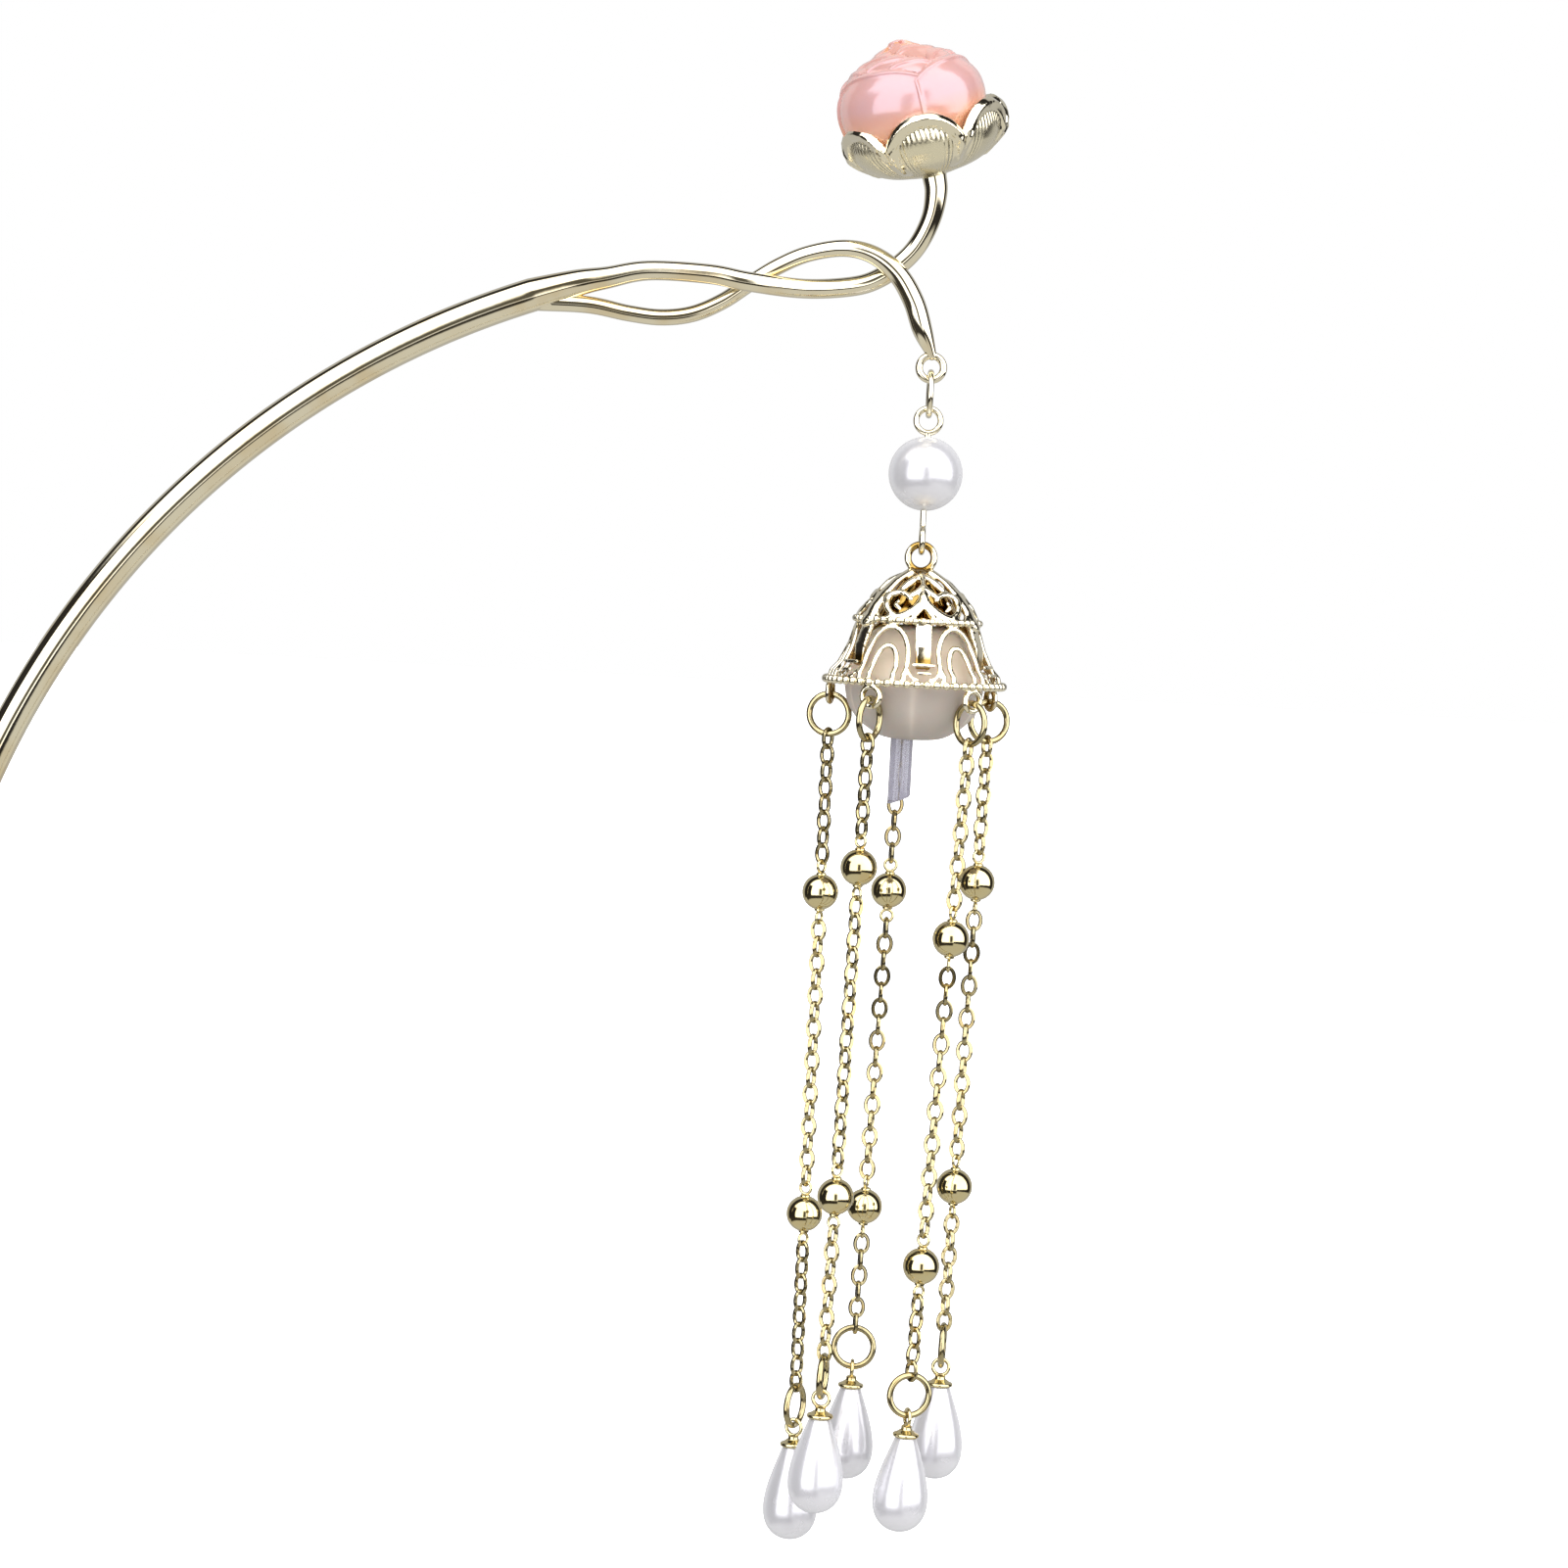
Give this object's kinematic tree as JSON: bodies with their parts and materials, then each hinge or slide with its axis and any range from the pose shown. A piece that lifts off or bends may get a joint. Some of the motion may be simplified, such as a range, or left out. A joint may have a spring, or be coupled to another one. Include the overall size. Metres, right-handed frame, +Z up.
{
  "type": "buyao hairpin",
  "caption": "Curved metal hairpin with a twisted end, a carved pink bud in a calyx, and a hanging drop: pearl, pierced cap, frosted flower and chained teardrop strands.",
  "frame": {"origin": "centre line of the shaft where the hair grips it, which is the hair_grip mount", "axes": "+Z up as the drop hangs; +X from the grip towards the bud and the drop; -Y is the side that the picture shows"},
  "size_m": [0.1174, 0.0229, 0.1626],
  "materials": {
    "pale_gold": "polished pale champagne gold plate on a zinc casting",
    "yellow_gold": "polished yellow gold plate on wire",
    "pink_bud": "glossy pearlescent cast resin, warmer in the grooves",
    "pearl_white": "pearl lacquer on a bead",
    "frosted_flower": "frosted translucent resin",
    "clear_rod": "clear polished glass with a lavender tint"
  },
  "bodies": {
    "hairpin": {"pin": "pale_gold", "calyx": "pale_gold", "bud": "pink_bud"},
    "upper_ring": {"hook_ring": "yellow_gold"},
    "pearl_link": {"pearl": "pearl_white", "pearl_wire": "yellow_gold"},
    "drop": {"cap": "pale_gold", "bell_flower": "frosted_flower", "rod": "clear_rod", "top_ring_1": "yellow_gold", "top_ring_2": "yellow_gold", "top_ring_3": "yellow_gold", "top_ring_4": "yellow_gold", "top_ring_5": "yellow_gold", "chain_1": "yellow_gold", "chain_2": "yellow_gold", "chain_3": "yellow_gold", "chain_4": "yellow_gold", "chain_5": "yellow_gold", "upper_ball_1": "yellow_gold", "upper_ball_2": "yellow_gold", "upper_ball_3": "yellow_gold", "upper_ball_4": "yellow_gold", "upper_ball_5": "yellow_gold", "lower_ball_1": "yellow_gold", "lower_ball_2": "yellow_gold", "lower_ball_3": "yellow_gold", "lower_ball_4": "yellow_gold", "lower_ball_5": "yellow_gold", "drop_ring_1": "yellow_gold", "drop_ring_2": "yellow_gold", "drop_ring_3": "yellow_gold", "drop_ring_4": "yellow_gold", "drop_ring_5": "yellow_gold", "drop_cap_1": "yellow_gold", "drop_cap_2": "yellow_gold", "drop_cap_3": "yellow_gold", "drop_cap_4": "yellow_gold", "drop_cap_5": "yellow_gold", "teardrop_1": "pearl_white", "teardrop_2": "pearl_white", "teardrop_3": "pearl_white", "teardrop_4": "pearl_white", "teardrop_5": "pearl_white"}
  },
  "joints": [
    {"name": "ring_swing", "type": "hinge", "parent": "hairpin", "child": "upper_ring", "pos_m": [0.08756, 0, 0.02809], "axis": [0, 1, 0], "range_deg": [-30, 30]},
    {"name": "pearl_swing", "type": "hinge", "parent": "upper_ring", "child": "pearl_link", "pos_m": [0.08756, 0, 0.02532], "axis": [1, 0, 0], "range_deg": [-35, 35]},
    {"name": "drop_swing", "type": "hinge", "parent": "pearl_link", "child": "drop", "pos_m": [0.08756, 0, 0.00974], "axis": [1, 0, 0], "range_deg": [-35, 35]}
  ]
}
